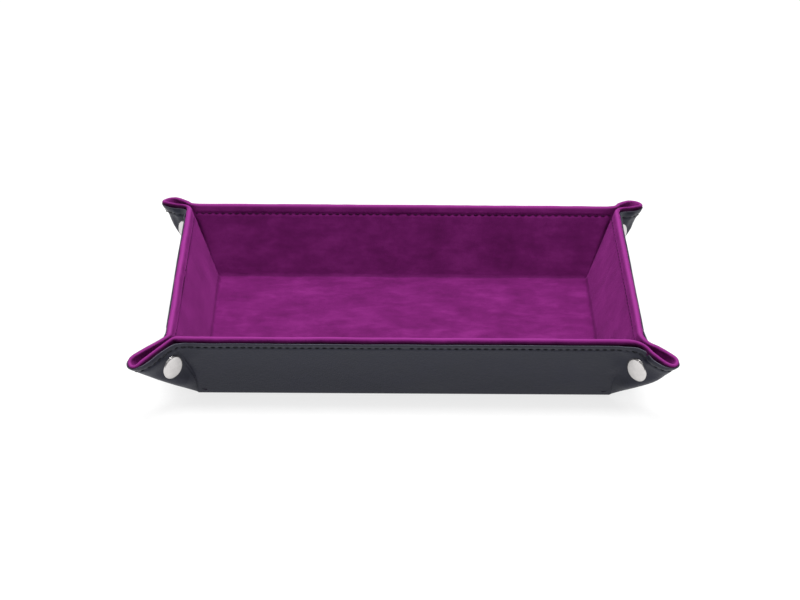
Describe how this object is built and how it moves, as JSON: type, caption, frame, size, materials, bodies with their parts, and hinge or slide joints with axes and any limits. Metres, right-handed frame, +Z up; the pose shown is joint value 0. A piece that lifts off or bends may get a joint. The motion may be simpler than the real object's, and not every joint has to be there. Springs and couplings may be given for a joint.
{
  "type": "folding dice tray",
  "caption": "Folding dice tray: a velvet-lined, leather-covered flat sheet whose walls stand up when its corner ears are snapped shut, and lie flat when opened.",
  "frame": {"origin": "middle of the underside of the tray, on the surface it stands on", "axes": "+Z up out of the tray, +X along its long side, +Y along its short side"},
  "size_m": [0.2872, 0.1972, 0.0409],
  "materials": {
    "cover_leather": "fine grained charcoal imitation leather with a soft sheen",
    "velvet_lining": "short pile purple velvet",
    "stiffener_board": "grey board, hidden inside",
    "seam_thread": "dark waxed sewing thread",
    "snap_cap_metal": "polished nickel plate",
    "snap_inner_metal": "plated brass"
  },
  "bodies": {
    "tray_floor": {"floor_cover": "cover_leather", "floor_board": "stiffener_board", "floor_lining": "velvet_lining"},
    "front_wall": {"front_wall_cover": "cover_leather", "front_wall_board": "stiffener_board", "front_wall_lining": "velvet_lining", "front_wall_seam_thread": "seam_thread"},
    "back_wall": {"back_wall_cover": "cover_leather", "back_wall_board": "stiffener_board", "back_wall_lining": "velvet_lining", "back_wall_seam_thread": "seam_thread"},
    "left_wall": {"left_wall_cover": "cover_leather", "left_wall_board": "stiffener_board", "left_wall_lining": "velvet_lining", "left_wall_seam_thread": "seam_thread"},
    "right_wall": {"right_wall_cover": "cover_leather", "right_wall_board": "stiffener_board", "right_wall_lining": "velvet_lining", "right_wall_seam_thread": "seam_thread"},
    "front_left_long_flap": {"front_left_long_flap_cover": "cover_leather", "front_left_long_flap_lining": "velvet_lining", "front_left_long_flap_seam_thread": "seam_thread", "front_left_snap_cap": "snap_cap_metal", "front_left_snap_socket": "snap_inner_metal"},
    "front_left_short_flap": {"front_left_short_flap_cover": "cover_leather", "front_left_short_flap_lining": "velvet_lining", "front_left_short_flap_seam_thread": "seam_thread", "front_left_snap_stud": "snap_inner_metal", "front_left_snap_back_cap": "snap_cap_metal"},
    "front_right_long_flap": {"front_right_long_flap_cover": "cover_leather", "front_right_long_flap_lining": "velvet_lining", "front_right_long_flap_seam_thread": "seam_thread", "front_right_snap_cap": "snap_cap_metal", "front_right_snap_socket": "snap_inner_metal"},
    "front_right_short_flap": {"front_right_short_flap_cover": "cover_leather", "front_right_short_flap_lining": "velvet_lining", "front_right_short_flap_seam_thread": "seam_thread", "front_right_snap_stud": "snap_inner_metal", "front_right_snap_back_cap": "snap_cap_metal"},
    "back_left_long_flap": {"back_left_long_flap_cover": "cover_leather", "back_left_long_flap_lining": "velvet_lining", "back_left_long_flap_seam_thread": "seam_thread", "back_left_snap_cap": "snap_cap_metal", "back_left_snap_socket": "snap_inner_metal"},
    "back_left_short_flap": {"back_left_short_flap_cover": "cover_leather", "back_left_short_flap_lining": "velvet_lining", "back_left_short_flap_seam_thread": "seam_thread", "back_left_snap_stud": "snap_inner_metal", "back_left_snap_back_cap": "snap_cap_metal"},
    "back_right_long_flap": {"back_right_long_flap_cover": "cover_leather", "back_right_long_flap_lining": "velvet_lining", "back_right_long_flap_seam_thread": "seam_thread", "back_right_snap_cap": "snap_cap_metal", "back_right_snap_socket": "snap_inner_metal"},
    "back_right_short_flap": {"back_right_short_flap_cover": "cover_leather", "back_right_short_flap_lining": "velvet_lining", "back_right_short_flap_seam_thread": "seam_thread", "back_right_snap_stud": "snap_inner_metal", "back_right_snap_back_cap": "snap_cap_metal"}
  },
  "joints": [
    {"name": "front_wall_fold", "type": "hinge", "parent": "tray_floor", "child": "front_wall", "pos_m": [0, -0.0625, 0], "axis": [1, 0, 0], "range_deg": [0, 68]},
    {"name": "back_wall_fold", "type": "hinge", "parent": "tray_floor", "child": "back_wall", "pos_m": [0, 0.0625, 0], "axis": [-1, 0, 0], "range_deg": [0, 68]},
    {"name": "left_wall_fold", "type": "hinge", "parent": "tray_floor", "child": "left_wall", "pos_m": [-0.1075, 0, 0], "axis": [0, -1, 0], "range_deg": [0, 68]},
    {"name": "right_wall_fold", "type": "hinge", "parent": "tray_floor", "child": "right_wall", "pos_m": [0.1075, 0, 0], "axis": [0, 1, 0], "range_deg": [0, 68]},
    {"name": "front_left_long_flap_fold", "type": "hinge", "parent": "front_wall", "child": "front_left_long_flap", "pos_m": [-0.10319, -0.0625, 0], "axis": [0.3508, 0.3508, -0.8683], "range_deg": [0, 49.03]},
    {"name": "front_left_ear_fold", "type": "hinge", "parent": "front_left_long_flap", "child": "front_left_short_flap", "pos_m": [-0.10835, -0.06335, -0.00069], "axis": [-0.5736, -0.5736, 0.5849], "range_deg": [0, 179]},
    {"name": "front_right_long_flap_fold", "type": "hinge", "parent": "front_wall", "child": "front_right_long_flap", "pos_m": [0.10319, -0.0625, 0], "axis": [0.3508, -0.3508, 0.8683], "range_deg": [0, 49.03]},
    {"name": "front_right_ear_fold", "type": "hinge", "parent": "front_right_long_flap", "child": "front_right_short_flap", "pos_m": [0.10835, -0.06335, -0.00069], "axis": [-0.5736, 0.5736, -0.5849], "range_deg": [0, 179]},
    {"name": "back_left_long_flap_fold", "type": "hinge", "parent": "back_wall", "child": "back_left_long_flap", "pos_m": [-0.10319, 0.0625, 0], "axis": [-0.3508, 0.3508, 0.8683], "range_deg": [0, 49.03]},
    {"name": "back_left_ear_fold", "type": "hinge", "parent": "back_left_long_flap", "child": "back_left_short_flap", "pos_m": [-0.10835, 0.06335, -0.00069], "axis": [0.5736, -0.5736, -0.5849], "range_deg": [0, 179]},
    {"name": "back_right_long_flap_fold", "type": "hinge", "parent": "back_wall", "child": "back_right_long_flap", "pos_m": [0.10319, 0.0625, 0], "axis": [-0.3508, -0.3508, -0.8683], "range_deg": [0, 49.03]},
    {"name": "back_right_ear_fold", "type": "hinge", "parent": "back_right_long_flap", "child": "back_right_short_flap", "pos_m": [0.10835, 0.06335, -0.00069], "axis": [0.5736, 0.5736, 0.5849], "range_deg": [0, 179]}
  ],
  "couplings": [
    {"joint": "back_wall_fold", "follows": "front_wall_fold", "ratio": 1},
    {"joint": "left_wall_fold", "follows": "front_wall_fold", "ratio": 1},
    {"joint": "right_wall_fold", "follows": "front_wall_fold", "ratio": 1},
    {"joint": "front_left_long_flap_fold", "follows": "front_wall_fold", "ratio": 0.72108},
    {"joint": "front_left_ear_fold", "follows": "front_wall_fold", "ratio": 2.6324},
    {"joint": "front_right_long_flap_fold", "follows": "front_wall_fold", "ratio": 0.72108},
    {"joint": "front_right_ear_fold", "follows": "front_wall_fold", "ratio": 2.6324},
    {"joint": "back_left_long_flap_fold", "follows": "front_wall_fold", "ratio": 0.72108},
    {"joint": "back_left_ear_fold", "follows": "front_wall_fold", "ratio": 2.6324},
    {"joint": "back_right_long_flap_fold", "follows": "front_wall_fold", "ratio": 0.72108},
    {"joint": "back_right_ear_fold", "follows": "front_wall_fold", "ratio": 2.6324}
  ]
}
